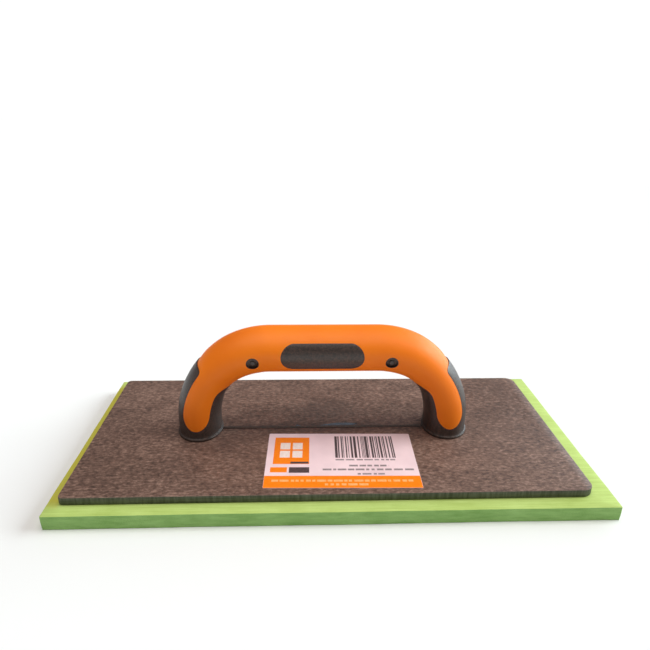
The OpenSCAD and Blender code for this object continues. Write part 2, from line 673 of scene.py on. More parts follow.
@dataclass(frozen=True)
class BoardEdgeFinish:
    """The board's sawn edge: dark olive resin with upright saw marks."""

    dark: Colour = (0.040, 0.046, 0.027)
    pale: Colour = (0.112, 0.121, 0.085)

    def material(self) -> Material:
        """Builds the finish."""
        bench = Bench("fibre_board_edge")
        streak = bench.grain(Vector((1.4, 1.4, 14.0)), 4, 0.6)
        layer = bench.grain(Vector((30.0, 30.0, 0.8)), 3, 0.5)
        tone = bench.join(bench.vary(streak, 0.0, 0.65), bench.vary(layer, 0.0, 0.35), "ADD")
        bench.colour(bench.ramp(tone, (0.2, self.dark), (0.8, self.pale)))
        bench.roughness(bench.vary(streak, 0.48, 0.66))
        bench.normal(bench.relief(streak, 0.12))
        bench.set(Specular_IOR_Level=0.45)
        return bench.material


@dataclass(frozen=True)
class RubberFinish:
    """Green closed-cell rubber, with rolled lines on its skin or cut cells on its sides."""

    name: str
    deep: Colour
    pale: Colour
    line_mm: Vector
    cell_mm: float
    cell_depth: float
    left_strip_olive: Colour
    left_strip_olive_share: float
    strip: Span = (5.0 * MM, 7.0 * MM)
    front: Span = (5.0 * MM, 12.0 * MM)
    back: Span = (12.0 * MM, 4.0 * MM)
    back_share: float = 0.2

    def left_strip_olive_mask(self, bench: Bench, cloud: Socket) -> Socket:
        """Marks the narrow strip along the pad's left end that is tinted olive, fading out towards the
        front and weakening towards the back.

        Args:
            bench: Where the finish is laid out.
            cloud: The rubber's coarse noise.

        Returns:
            How olive each place is, 0 to 1.
        """
        low, high = (Vector(c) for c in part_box("foam_pad"))
        ends = (low.x + self.strip[0], low.x + self.strip[1])
        strip = bench.spread(bench.along("X"), *ends, self.left_strip_olive_share, 0.0)
        ends = (low.y + self.front[0], low.y + self.front[1])
        front = bench.spread(bench.along("Y"), *ends, 0.0, 1.0)
        ends = (high.y - self.back[0], high.y - self.back[1])
        back = bench.spread(bench.along("Y"), *ends, 1.0, self.back_share)
        patchy = bench.spread(cloud, 0.25, 0.6, 0.8, 1.0)
        across = bench.join(front, back, "MULTIPLY")
        return bench.join(bench.join(strip, patchy, "MULTIPLY"), across, "MULTIPLY")

    def material(self) -> Material:
        """Builds the finish."""
        bench = Bench(self.name)
        line = bench.grain(self.line_mm, 4, 0.6)
        cloud = bench.grain(even(16), 3, 0.5)
        pore = bench.cells(even(self.cell_mm))
        tone = bench.join(bench.vary(line, 0.0, 0.6), bench.vary(cloud, 0.0, 0.4), "ADD")
        skin = bench.ramp(tone, (0.1, self.deep), (0.9, self.pale))
        # A darker copy of the green, painted into the middle of each cell as shade in its pit.
        dark = bench.ramp(tone, (0.1, tuple(0.7 * c for c in self.deep)), (0.9, self.deep))
        skin_with_pit_shade = bench.blend(bench.spread(pore, 0.05, 0.3, 0.55, 0.0), skin, dark)
        olive = bench.ramp(tone, (0.1, self.left_strip_olive), (0.9, self.left_strip_olive))
        bench.colour(bench.blend(self.left_strip_olive_mask(bench, cloud), skin_with_pit_shade, olive))
        bench.roughness(bench.vary(line, 0.78, 0.92))
        low = bench.relief(line, 0.10)
        bench.normal(bench.relief(bench.spread(pore, 0.0, 0.5, 0.0, 1.0), self.cell_depth, low))
        bench.set(Specular_IOR_Level=0.25)
        return bench.material


@dataclass(frozen=True)
class GlueFinish:
    """Dried contact glue, dull amber with bubbles."""

    deep: Colour = (0.10, 0.075, 0.020)
    pale: Colour = (0.22, 0.17, 0.06)

    def material(self) -> Material:
        """Builds the finish."""
        bench = Bench("dried_glue")
        clot = bench.grain(even(2.5), 4, 0.6)
        bench.colour(bench.mottle(clot, self.deep, self.pale))
        bench.roughness(bench.vary(clot, 0.3, 0.6))
        bench.normal(bench.relief(clot, 0.15))
        bench.set(Specular_IOR_Level=0.5)
        return bench.material


@dataclass(frozen=True)
class VarnishFinish:
    """A drop of the board's clear resin, dried smooth and glossy, coloured pale bluish grey as a painted
    reflection of the bright surroundings.
    """

    # Pale bluish greys that paint in the reflection of the bright surroundings.
    painted_reflection_dim: Colour = (0.070, 0.084, 0.110)
    painted_reflection_bright: Colour = (0.105, 0.122, 0.152)

    def material(self) -> Material:
        """Builds the finish."""
        bench = Bench("resin_drop_painted_reflection")
        cloud = bench.grain(even(6), 3, 0.5)
        bench.colour(bench.mottle(cloud, self.painted_reflection_dim, self.painted_reflection_bright))
        bench.roughness(bench.vary(cloud, 0.08, 0.2))
        bench.normal(bench.relief(cloud, 0.05))
        bench.set(Specular_IOR_Level=0.6, Coat_Weight=0.6, Coat_Roughness=0.08)
        return bench.material


@dataclass(frozen=True)
class ZincFinish:
    """Zinc-plated steel with fine turning marks."""

    dull: Colour = (0.42, 0.42, 0.44)
    bright: Colour = (0.68, 0.68, 0.70)

    def material(self) -> Material:
        """Builds the finish."""
        bench = Bench("zinc_plate")
        turned = bench.grain(Vector((3.0, 3.0, 0.3)), 3, 0.6)
        spangle = bench.grain(even(1.2), 3, 0.5)
        bench.colour(bench.mottle(spangle, self.dull, self.bright))
        bench.roughness(bench.vary(turned, 0.25, 0.42))
        bench.normal(bench.relief(turned, 0.03))
        bench.set(Metallic=1.0)
        return bench.material


@dataclass(frozen=True)
class PaperFinish:
    """Coated label paper, faintly pink, with a soft fibre relief and soft blotches of painted shade."""

    # The darker paper colour is the paper as seen in shade, painted in as soft blotches among the lit
    # colour.
    painted_shade_paper: Colour = (0.79, 0.60, 0.64)
    sheet: Colour = (0.90, 0.69, 0.73)

    def material(self) -> Material:
        """Builds the finish."""
        bench = Bench("label_paper")
        cloud = bench.grain(even(14), 3, 0.5)
        pulp = bench.grain(even(0.5), 3, 0.6)
        bench.colour(bench.mottle(cloud, self.painted_shade_paper, self.sheet))
        bench.roughness(bench.vary(pulp, 0.34, 0.46))
        wave = bench.relief(cloud, 0.25)
        bench.normal(bench.relief(pulp, 0.012, wave))
        bench.set(Specular_IOR_Level=0.5)
        return bench.material


@dataclass(frozen=True)
class InkFinish:
    """Printing ink laid on paper, a little uneven."""

    name: str
    thin: Colour
    full: Colour

    def material(self) -> Material:
        """Builds the finish."""
        bench = Bench(self.name)
        lay = bench.grain(even(1.1), 4, 0.6)
        bench.colour(bench.ramp(lay, (0.3, self.thin), (0.62, self.full)))
        bench.roughness(bench.vary(lay, 0.32, 0.45))
        bench.normal(bench.relief(lay, 0.01))
        bench.set(Specular_IOR_Level=0.5)
        return bench.material


RUBBER_SKIN = RubberFinish(
    name="green_rubber_skin", deep=(0.395, 0.52, 0.125), pale=(0.55, 0.70, 0.228),
    line_mm=Vector((26.0, 1.1, 4.0)), cell_mm=0.55, cell_depth=0.05,
    left_strip_olive=(0.56, 0.49, 0.05), left_strip_olive_share=0.85,
)
RUBBER_CUT = RubberFinish(
    name="green_rubber_cut", deep=(0.215, 0.40, 0.105), pale=(0.34, 0.56, 0.19),
    line_mm=Vector((9.0, 9.0, 1.6)), cell_mm=0.7, cell_depth=0.12,
    left_strip_olive=(0.30, 0.36, 0.06), left_strip_olive_share=0.0,
)
ORANGE_INK = InkFinish("orange_ink", (0.90, 0.19, 0.000), (0.96, 0.24, 0.001))
BLACK_INK = InkFinish("black_ink", (0.100, 0.065, 0.070), (0.060, 0.038, 0.042))
GREY_INK = InkFinish("grey_ink", (0.36, 0.30, 0.31), (0.24, 0.19, 0.20))
FAINT_INK = InkFinish("faint_print", (0.90, 0.36, 0.10), (0.93, 0.46, 0.18))
WHITE_INK = InkFinish("bare_paper_in_print", (0.82, 0.66, 0.60), (0.90, 0.78, 0.74))


def coat(piece: Piece, *materials: Material) -> None:
    """Puts materials on a piece in place of what it had.

    Args:
        piece: The piece.
        materials: Its finishes, in the order of its faces' numbers.
    """
    piece.data.materials.clear()
    for material in materials:
        piece.data.materials.append(material)


# ---- The pad ----


@dataclass
class RubberPad:
    """The green rubber pad: a sheet with a rolled skin, cut to size by knife."""

    cuts: int = 27
    top_round: float = 0.35 * MM
    foot_round: float = 0.9 * MM
    corner_round: float = 0.8 * MM
    side_wander: float = 0.18 * MM
    side_taper: float = 0.5 * MM
    side_skin: float = 0.3 * MM

    def __post_init__(self) -> None:
        """Takes the pad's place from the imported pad."""
        self.low, self.high = (Vector(c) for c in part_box("foam_pad"))

    def build(self) -> Piece:
        """Builds the pad."""
        pad = block("rubber_pad", self.low, self.high)
        self.round_edges(pad)
        self.cut_sides(pad)
        smooth(pad, 40)
        return pad

    def round_edges(self, pad: Piece) -> None:
        """Divides the block and rounds its corners, top edge and foot.

        Args:
            pad: The pad, still a plain block.
        """
        choose(pad, Pick.FACES, lambda f: True)
        with editing(pad):
            bpy.ops.mesh.subdivide(number_cuts=self.cuts)
        where = pad.data.vertices

        def on(edge: Edge, axis: int, level: float) -> bool:
            """Says whether both ends of an edge lie at one level."""
            return all(abs(where[i].co[axis] - level) < HAIR for i in edge.vertices)

        def on_side(edge: Edge, axis: int) -> bool:
            """Says whether an edge lies on either end face of an axis."""
            return on(edge, axis, self.low[axis]) or on(edge, axis, self.high[axis])

        soften(pad, self.corner_round, 3, lambda e: on_side(e, 0) and on_side(e, 1))

        def at_rim(edge: Edge, level: float) -> bool:
            """Says whether an edge runs round the pad at one height.

            Args:
                edge: The edge.
                level: The height.

            Returns:
                Whether it runs along the outline there.
            """
            if not on(edge, 2, level):
                return False
            ends = [where[i].co for i in edge.vertices]
            return all(self.off_side(p) < HAIR for p in ends) and self.is_outline(ends)

        soften(pad, self.foot_round, 3, lambda e: at_rim(e, self.low.z))
        soften(pad, self.top_round, 2, lambda e: at_rim(e, self.high.z))

    def off_side(self, point: Vector) -> float:
        """How far a point lies inside the pad's outline, rounded corners included.

        Args:
            point: The point.

        Returns:
            The distance from the outline.
        """
        radius = self.corner_round
        dx = abs(point.x) - (self.high.x - radius)
        dy = abs(point.y) - (self.high.y - radius)
        if dx > 0 and dy > 0:
            return abs(radius - math.hypot(dx, dy))
        return min(abs(radius - dx), abs(radius - dy))

    def is_outline(self, ends: list[Vector]) -> bool:
        """Says whether an edge between two outline points runs along the outline."""
        middle = (ends[0] + ends[1]) / 2
        return self.off_side(middle) < 0.12 * MM

    def cut_sides(self, pad: Piece) -> None:
        """Lets the knife-cut sides wander a little and draw in towards the foot.

        Args:
            pad: The pad.
        """
        height = self.high.z - self.low.z
        for vertex in pad.data.vertices:
            p = vertex.co
            side_x = self.high.x - abs(p.x) < self.side_skin
            side_y = self.high.y - abs(p.y) < self.side_skin
            rise = (p.z - self.low.z) / height
            draw = self.side_taper * (1 - ease(rise, 0.0, 0.8)) ** 2
            if side_x:
                p.x -= math.copysign(draw + self.side_wander * (1 + wander(p.y, 2.0 + p.x)), p.x)
            if side_y:
                p.y -= math.copysign(draw + self.side_wander * (1 + wander(p.x, 5.0 + 9 * p.y)), p.y)

    def dress(self, pad: Piece) -> None:
        """Gives the flat faces their rolled skin and the sides their cut cells.

        Args:
            pad: The pad.
        """
        coat(pad, RUBBER_SKIN.material(), RUBBER_CUT.material())
        for face in pad.data.polygons:
            face.material_index = 0 if abs(face.normal.z) > 0.8 else 1
        deliver(pad, "green_foam_rubber", "foam_pad")


@dataclass
class GlueFilm:
    """The glue between pad and board, pressed out a little unevenly."""

    cuts: int = 20
    corner_round: float = 5.0 * MM
    edge_wander: float = 0.5 * MM
    rim_share: float = 0.9

    def build(self) -> Piece:
        """Builds the film."""
        low, high = (Vector(c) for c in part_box("pad_glue"))
        film = block("glue_film", low, high)
        middle = (low + high) / 2
        half = high - middle
        soften(film, self.corner_round, 4, lambda e: is_upright(film, e))
        choose(film, Pick.FACES, lambda f: True)
        with editing(film):
            bpy.ops.mesh.subdivide(number_cuts=self.cuts)
        for vertex in film.data.vertices:
            p = vertex.co
            reach = max(abs(p.x - middle.x) / half.x, abs(p.y - middle.y) / half.y)
            if reach > self.rim_share:
                shift = self.edge_wander * (1 + wander(p.x + 3 * p.y, 1.7))
                p.x -= math.copysign(shift, p.x - middle.x)
                p.y -= math.copysign(shift, p.y - middle.y)
        smooth(film)
        return film

    def dress(self, film: Piece) -> None:
        """Gives the film its amber glue finish."""
        coat(film, GlueFinish().material())
        deliver(film, "glue_film", "pad_glue")


# ---- The board ----


@dataclass
class BackingBoard:
    """The fibre board, with rounded corners, eased edges and holes for the screws."""

    left_round: float = 2.5 * MM
    right_round: float = 6.0 * MM
    edge_round: float = 0.3 * MM
    head_r: float = 4.0 * MM
    shank_r: float = 2.0 * MM
    hole_play: float = 0.2 * MM
    head_slope: float = 2.0 * MM
    overrun: float = 3.0 * MM

    def build(self) -> Piece:
        """Builds the board."""
        low, high = (Vector(c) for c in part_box("backing_board"))
        board = block("backing_board_finished", low, high)
        middle_x = (low.x + high.x) / 2

        def is_corner(edge: Edge, end: int) -> bool:
            """Says whether an edge is a corner of the left (-1) or the right (1) end."""
            x = board.data.vertices[edge.vertices[0]].co.x
            return is_upright(board, edge) and end * (x - middle_x) > 0

        soften(board, self.left_round, 8, lambda e: is_corner(e, -1))
        soften(board, self.right_round, 12, lambda e: is_corner(e, 1))
        soften(board, self.edge_round, 2, lambda e: not is_upright(board, e))
        self.drill(board, low.z)
        smooth(board, 30)
        return board

    def drill(self, board: Piece, underside: float) -> None:
        """Drills and countersinks the board from below, where the screws pass.

        Args:
            board: The board.
            underside: The height of its underside.
        """
        first, last = (Vector(c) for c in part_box("screws"))
        head, depth = self.head_r, self.head_slope + self.hole_play
        for x in (first.x + head, last.x - head):
            for y in (first.y + head, last.y - head):
                put_down()
                bpy.ops.mesh.primitive_cone_add(
                    vertices=32, radius1=head + self.hole_play, radius2=self.shank_r + self.hole_play,
                    depth=depth, location=(x, y, underside + depth / 2 - HAIR),
                )
                sink = added("sink")
                choose(sink, Pick.FACES, lambda f: f.normal.z > 0.9)
                with editing(sink):
                    bpy.ops.mesh.extrude_region_move(
                        TRANSFORM_OT_translate={"value": (0, 0, self.overrun)},
                    )
                cut(board, sink)

    def dress(self, board: Piece) -> None:
        """Gives the faces their flecked finish and the edge its sawn one.

        Args:
            board: The board.
        """
        coat(board, BoardFaceFinish().material(), BoardEdgeFinish().material())
        for face in board.data.polygons:
            face.material_index = 0 if abs(face.normal.z) > 0.6 else 1
        deliver(board, "fibre_board", "backing_board")


@dataclass(frozen=True)
class DropShape:
    """One drop: its place from the handle's middle, half its size, and its turn in degrees."""

    name: str
    place: Vector
    half_l: float
    half_w: float
    turn: float


DROPS = (
    DropShape("resin_drop_long", Vector((8.5, 2.0, 0)) * MM, 12.0 * MM, 2.6 * MM, 6.0),
    DropShape("resin_drop_small", Vector((-15.0, 1.5, 0)) * MM, 1.5 * MM, 1.3 * MM, 0.0),
)


@dataclass
class ResinDrops:
    """Thin drops of the board's own clear resin that dried between the handle's feet."""

    thickness: float = 0.22 * MM
    taper: float = 0.35

    def build(self) -> list[Piece]:
        """Builds the long drop and the small one."""
        _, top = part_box("backing_board")
        low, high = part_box("handle_core")
        middle = Vector(((low[0] + high[0]) / 2, (low[1] + high[1]) / 2, top[2]))
        return [self.drop(shape, middle + shape.place) for shape in DROPS]

    def drop(self, shape: DropShape, place: Vector) -> Piece:
        """Builds one drop as a flat dome drawn out to two points.

        Args:
            shape: Its name, size and turn.
            place: Its middle on the board.

        Returns:
            The drop.
        """
        put_down()
        bpy.ops.mesh.primitive_uv_sphere_add(
            segments=40, ring_count=16, radius=1.0,
            location=place, rotation=(0, 0, math.radians(shape.turn)),
        )
        drop = bpy.context.view_layer.objects.active
        for vertex in drop.data.vertices:
            vertex.co.y *= 1 - self.taper * vertex.co.x**2
        drop.scale = (shape.half_l, shape.half_w, self.thickness)
        drop = added(shape.name)
        choose(drop, Pick.CORNERS, lambda v: True)
        with editing(drop):
            bpy.ops.mesh.bisect(plane_co=place, plane_no=(0, 0, 1), clear_inner=True, use_fill=True)
        smooth(drop, 50)
        return drop

    def dress(self, drops: list[Piece]) -> None:
        """Gives the drops their clear gloss and their painted reflection colour.

        Args:
            drops: The drops.
        """
        gloss = VarnishFinish().material()
        for drop in drops:
            coat(drop, gloss)
            deliver(drop, "fibre_board")


# ---- The handle ----


class Layer(Enum):
    """Which of the handle's two mouldings a surface belongs to."""

    HARD = "hard"
    SOFT = "soft"


@dataclass(frozen=True)
class BowSide:
    """One side of the bow: how thick it is, and how the skin ends on it.

    The angles run round the shoulder in degrees, 0 on the grip and 90 on the leg.
    """

    waist: float
    foot: float
    slims: Span
    fills: Span
    strip: float
    skin_angle: float
    skin_slope: float
    skin_round: float
    skin_step: float
    steps_at: Span


OUTER_SIDE = BowSide(
    waist=11.85 * MM, foot=12.2 * MM, slims=(25, 52), fills=(60, 80), strip=8.25 * MM,
    skin_angle=49.1, skin_slope=0.5, skin_round=3.2 * MM, skin_step=-0.5 * MM, steps_at=(42, 50),
)
INNER_SIDE = BowSide(
    waist=11.2 * MM, foot=12.0 * MM, slims=(8, 48), fills=(56, 76), strip=7.1 * MM,
    skin_angle=53.8, skin_slope=-0.1, skin_round=4.6 * MM, skin_step=0.5 * MM, steps_at=(46, 54),
)


@dataclass
class BowHandle:
    """The two-shot bow handle: a hard bow with a soft skin let into it, its feet and its tie strip."""

    half_h: float = 12.7 * MM
    half_d: float = 14.45 * MM
    outer: BowSide = OUTER_SIDE
    inner: BowSide = INNER_SIDE
    shoulder_r: float = 41.2 * MM
    skin_t: float = 3.0 * MM
    lip_out: float = 0.8 * MM
    lip_h: float = 1.6 * MM
    fillet_h: float = 0.9 * MM
    overrun: float = 6.0 * MM
    around: int = 72
    leg_steps: int = 5
    turn_steps: int = 44
    grip_steps: int = 40
    tongue_end_a: float = 82.0
    tongue_tip: float = 9.3 * MM
    tip_steps: int = 26
    window_half_l: float = 22.5 * MM
    window_half_h: float = 7.5 * MM
    window_shift: float = -1.2 * MM
    button_r: float = 3.5 * MM
    button_pitch: float = 37.5 * MM
    button_drop: float = 3.3 * MM
    button_sunk: float = 1.3 * MM
    pocket_play: float = 0.25 * MM
    boss_r: float = 1.5 * MM
    boss_l: float = 2.4 * MM
    boss_sunk: float = 2.1 * MM
    boss_round: float = 0.5 * MM
    weld: float = 0.12 * MM
    groove: float = 0.22 * MM
    groove_angle: float = 48.0
    tie_w: float = 2.0 * MM
    tie_h: float = 0.8 * MM

    def __post_init__(self) -> None:
        """Takes the handle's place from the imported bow."""
        low, high = (Vector(c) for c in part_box("handle_core"))
        self.middle = Vector(((low.x + high.x) / 2, (low.y + high.y) / 2, low.z))
        self.foot_x = (high.x - low.x) / 2 - self.half_h - self.lip_out
        self.half_grip = self.foot_x - self.shoulder_r
        _, skin_top = (Vector(c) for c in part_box("grip_skin"))
        self.grip_z = skin_top.z - self.half_h
        self.bend_z = self.grip_z - self.shoulder_r

    # The bow

    def sweep(self, name: str, inset: float, lips: bool) -> Piece:
        """Draws the oval section up one leg, round the grip and down the other leg.

        Args:
            name: The piece's name.
            inset: How far the section is drawn in from its full size.
            lips: Whether the feet get their lips, or run past the board instead.

        Returns:
            The closed bow.
        """
        start_z = self.middle.z if lips else self.middle.z - self.overrun
        foot = Vector((self.middle.x - self.foot_x, self.middle.y, start_z))
        put_down()
        bpy.ops.mesh.primitive_circle_add(
            vertices=self.around, radius=1.0, fill_type="NOTHING", location=foot,
        )
        bpy.context.view_layer.objects.active.scale = (self.half_h - inset, self.half_d - inset, 1.0)
        bow = added(name)
        choose(bow, Pick.CORNERS, lambda v: True)
        with editing(bow):
            leg = self.bend_z - start_z
            if lips:
                self.foot_rings(foot, up=True)
                leg -= self.lip_h + self.fillet_h
            self.rise(leg / self.leg_steps)
            self.swing(self.middle.x - self.half_grip)
            for _ in range(self.grip_steps):
                self.extrude((2 * self.half_grip / self.grip_steps, 0, 0))
            self.swing(self.middle.x + self.half_grip)
            self.rise(-leg / self.leg_steps)
            if lips:
                self.foot_rings(Vector((self.middle.x + self.foot_x, foot.y, foot.z)), up=False)
            bpy.ops.mesh.select_all(action="SELECT")
            bpy.ops.mesh.fill_holes(sides=0)
            bpy.ops.mesh.normals_make_consistent(inside=False)
        return bow

    def extrude(self, step: tuple[float, float, float]) -> None:
        """Extrudes the open ring by one step."""
        bpy.ops.mesh.extrude_region_move(TRANSFORM_OT_translate={"value": step})

    def rise(self, step: float) -> None:
        """Extrudes the open ring along one leg, up or down in even steps."""
        for _ in range(self.leg_steps):
            self.extrude((0, 0, step))

    def swing(self, centre_x: float) -> None:
        """Spins the open ring a quarter turn round one shoulder's centre.

        Args:
            centre_x: Where the shoulder's centre is along the handle.
        """
        bpy.ops.mesh.spin(
            steps=self.turn_steps, angle=math.pi / 2,
            center=(centre_x, self.middle.y, self.bend_z), axis=(0, -1, 0),
        )

    def foot_rings(self, centre: Vector, up: bool) -> None:
        """Extrudes the rings of one foot: a rounded lip, then a fillet into the leg.

        Args:
            centre: The foot's middle on the board.
            up: Whether the bow begins at this foot, or ends at it.
        """
        rings = [
            (0.0, 0.55), (0.25 * MM, 0.95), (1.1 * MM, 1.0), (1.45 * MM, 0.75), (self.lip_h, 0.35),
            (self.lip_h + 0.4 * MM, 0.1), (self.lip_h + self.fillet_h, 0.0),
        ]
        if not up:
            rings.reverse()
        size, level = 1.0, rings[0][0]
        for height, swell in rings:
            if height != level:
                self.extrude((0, 0, height - level))
            wanted = 1 + swell * self.lip_out / self.half_h
            bpy.ops.transform.resize(
                value=(wanted / size, wanted / size, 1), center_override=centre + Vector((0, 0, height)),
            )
            size, level = wanted, height

    # Its cutters

    def on_shoulder(self, radius: float, angle: float) -> Corner:
        """A point of the front view on the right shoulder, at an angle from upright."""
        turn = math.radians(angle)
        return (self.half_grip + radius * math.sin(turn), self.bend_z + radius * math.cos(turn))

    def arc(self, radius: float, start: float, end: float, steps: int) -> list[Corner]:
        """Points of the front view round the right shoulder, between two angles."""
        return [self.on_shoulder(radius, start + (end - start) * i / steps) for i in range(steps + 1)]

    def skin_outline(self) -> list[Corner]:
        """The soft skin's edge in front view: the whole grip, and a tongue down each leg."""
        half_w = (self.outer.strip + self.inner.strip) / 2
        line_r = self.shoulder_r + (self.outer.strip - self.inner.strip) / 2
        inner = self.arc(line_r - half_w, self.inner.skin_angle, self.tongue_end_a, 24)
        outer = self.arc(line_r + half_w, self.tongue_end_a, self.outer.skin_angle, 28)
        reach = 2 * self.half_h
        first = (inner[0][0] - reach, inner[0][1] - reach * self.inner.skin_slope)
        last = (outer[-1][0] + reach, outer[-1][1] + reach * self.outer.skin_slope)
        edge = bend_round([first] + inner, inner[0], self.inner.skin_round)
        edge += self.tongue_end(line_r, half_w)
        edge += bend_round(outer + [last], outer[-1], self.outer.skin_round)
        edge.append((last[0], last[1] + 2 * reach))
        return edge + [(-x, z) for x, z in reversed(edge)]

    def tongue_end(self, line_r: float, half_w: float) -> list[Corner]:
        """Draws the long round end of one tongue.

        Args:
            line_r: Radius of the tongue's middle line.
            half_w: Half the tongue's width.

        Returns:
            Its points, from the inner edge to the outer one.
        """
        turn = math.radians(self.tongue_end_a)
        middle = Vector(self.on_shoulder(line_r, self.tongue_end_a))
        out = Vector((math.sin(turn), math.cos(turn)))
        down = Vector((math.cos(turn), -math.sin(turn)))
        tip = []
        for step in range(1, self.tip_steps):
            t = math.pi * step / self.tip_steps
            tip.append(tuple(middle - half_w * math.cos(t) * out + self.tongue_tip * math.sin(t) * down))
        return tip

    def prism(self, name: str, outline: list[Corner], half_depth: float) -> Piece:
        """Stands a front view outline up as a solid that runs from front to back.

        Args:
            name: The solid's name.
            outline: Its corners, measured from the handle's middle.
            half_depth: Half its depth.

        Returns:
            The solid.
        """
        put_down()
        bpy.ops.mesh.primitive_circle_add(vertices=len(outline), radius=1.0, fill_type="NOTHING")
        solid = added(name)
        for vertex, (x, z) in zip(solid.data.vertices, outline):
            vertex.co = (self.middle.x + x, self.middle.y - half_depth, z)
        choose(solid, Pick.CORNERS, lambda v: True)
        with editing(solid):
            bpy.ops.mesh.edge_face_add()
            bpy.ops.mesh.extrude_region_move(TRANSFORM_OT_translate={"value": (0, 2 * half_depth, 0)})
            bpy.ops.mesh.select_all(action="SELECT")
            bpy.ops.mesh.normals_make_consistent(inside=False)
        return solid

    def rod(self, name: str, x: float, z: float, radius: float, stretch: float = 0.0) -> Piece:
        """Adds a rod from front to back, drawn out sideways into a slot if wanted.

        Args:
            name: The solid's name.
            x: Its place along the handle, from the middle.
            z: Its height.
            radius: Its radius.
            stretch: How far each half is moved outwards.

        Returns:
            The rod.
        """
        put_down()
        bpy.ops.mesh.primitive_cylinder_add(
            vertices=56, radius=radius, depth=4 * self.half_d,
            location=(self.middle.x + x, self.middle.y, z), rotation=(math.pi / 2, 0, 0),
        )
        rod = added(name)
        centre_x = self.middle.x + x
        for side in (-1, 1) if stretch else ():
            choose(rod, Pick.CORNERS, lambda v: side * (v.co.x - centre_x) > 0.1 * HAIR)
            with editing(rod):
                bpy.ops.transform.translate(value=(side * stretch, 0, 0))
        return rod

    def eyes(self) -> list[float]:
        """Where the two small windows are along the handle, from its middle."""
        return [self.window_shift + side * self.button_pitch for side in (-1, 1)]

    def skin_room(self) -> Piece:
        """Builds the solid that the soft skin may fill."""
        room = self.prism("skin_room", self.skin_outline(), 2 * self.half_d)
        slot_x = self.window_half_l - self.window_half_h
        cut(room, self.rod("window", self.window_shift, self.grip_z, self.window_half_h, slot_x))
        for eye_x in self.eyes():
            cut(room, self.rod("eye", eye_x, self.grip_z - self.button_drop, self.button_r))
        cut(room, self.sweep("inner_bow", self.skin_t, lips=False))
        return room

    # Shape

    def half_thickness(self, angle: float, drop: float, side: BowSide, layer: Layer) -> float:
        """Half the bow's thickness at one place, which is slimmest below the shoulders.

        Args:
            angle: Angle round the shoulder, 0 on the grip and 90 on the leg.
            drop: How far down the straight leg it is, where a millimetre counts as a degree.
            side: The side of the bow.
            layer: Which moulding it is.

        Returns:
            The half thickness on that side.
        """
        slim = ease(angle, *side.slims)
        back = ease(angle + drop / MM, *side.fills)
        size = self.half_h + (side.waist - self.half_h) * slim + (side.foot - side.waist) * back
        if layer is Layer.SOFT:
            size += side.skin_step * ease(angle, *side.steps_at)
        return size

    def beside(self, reach: float, z: float) -> tuple[Vector, Vector, float, float]:
        """Finds the bow's centre line beside a point of the front view.

        Args:
            reach: How far the point is from the handle's middle.
            z: Its height.

        Returns:
            The line's nearest point, the way outwards there, its angle round the shoulder, and
            how far down the straight leg it is.
        """
        if z <= self.bend_z:
            return Vector((self.foot_x, z)), Vector((1, 0)), 90.0, self.bend_z - z
        if reach <= self.half_grip:
            return Vector((reach, self.grip_z)), Vector((0, 1)), 0.0, 0.0
        arm = Vector((reach - self.half_grip, z - self.bend_z))
        outward = arm.normalized()
        centre = Vector((self.half_grip, self.bend_z)) + self.shoulder_r * outward
        return centre, outward, math.degrees(math.atan2(arm.x, arm.y)), 0.0

    def shape(self, piece: Piece, layer: Layer) -> None:
        """Moves a moulding's corners in or out to the bow's real thickness.

        Args:
            piece: The moulding.
            layer: Which moulding it is.
        """
        for vertex in piece.data.vertices:
            p = vertex.co
            x = p.x - self.middle.x
            centre, outward, angle, drop = self.beside(abs(x), p.z)
            off = (Vector((abs(x), p.z)) - centre).dot(outward)
            side = self.outer if off > 0 else self.inner
            hard, soft = (self.half_thickness(angle, drop, side, kind) for kind in Layer)
            shared = 0.5 * (hard + soft)
            own = soft if layer is Layer.SOFT else hard
            share = min(1.0, abs(off) / self.half_h)
            wanted = shared + (own - shared) * share**4
            moved = centre + outward * off * wanted / self.half_h
            p.x = self.middle.x + math.copysign(1.0, x) * moved.x
            p.z = moved.y

    def crease(self, piece: Piece) -> None:
        """Eases the sharp edge where the two mouldings meet.

        Args:
            piece: The moulding.
        """
        choose(piece, Pick.CORNERS, lambda v: True)
        with editing(piece):
            bpy.ops.mesh.remove_doubles(threshold=self.weld)
            bpy.ops.mesh.normals_make_consistent(inside=False)
        finish_modifier(
            piece, "BEVEL", width=self.groove, segments=2, limit_method="ANGLE",
            angle_limit=math.radians(self.groove_angle), use_clamp_overlap=True,
        )

    def build(self) -> dict[str, Piece]:
        """Builds the two mouldings, the buttons in the small windows and the tie strip."""
        core = self.sweep("bow_core", 0.0, lips=True)
        skin = copy_of(core, "bow_skin")
        room = self.skin_room()
        cut(skin, room, "INTERSECT", keep=True)
        cut(core, room)
        self.sink_buttons(core)
        for piece, layer in ((core, Layer.HARD), (skin, Layer.SOFT)):
            self.crease(piece)
            self.shape(piece, layer)
            smooth(piece, 32)
        return {"core": core, "skin": skin, "tie": self.tie_strip(), "buttons": self.buttons()}

    def sink_buttons(self, core: Piece) -> None:
        """Sinks a shallow round pocket into the hard bow in each small window.

        Args:
            core: The hard bow.
        """
        for eye_x in self.eyes():
            pocket_r = self.button_r - self.pocket_play
            pocket = self.rod("pocket", eye_x, self.grip_z - self.button_drop, pocket_r)
            cut(pocket, self.sweep("pocket_floor", self.button_sunk, lips=False))
            cut(core, pocket)

    def is_rim(self, boss: Piece, edge: Edge) -> bool:
        """Says whether an edge lies on one of a boss's two round rims."""
        first, last = (boss.data.vertices[i].co for i in edge.vertices)
        return abs(first.y - last.y) < HAIR

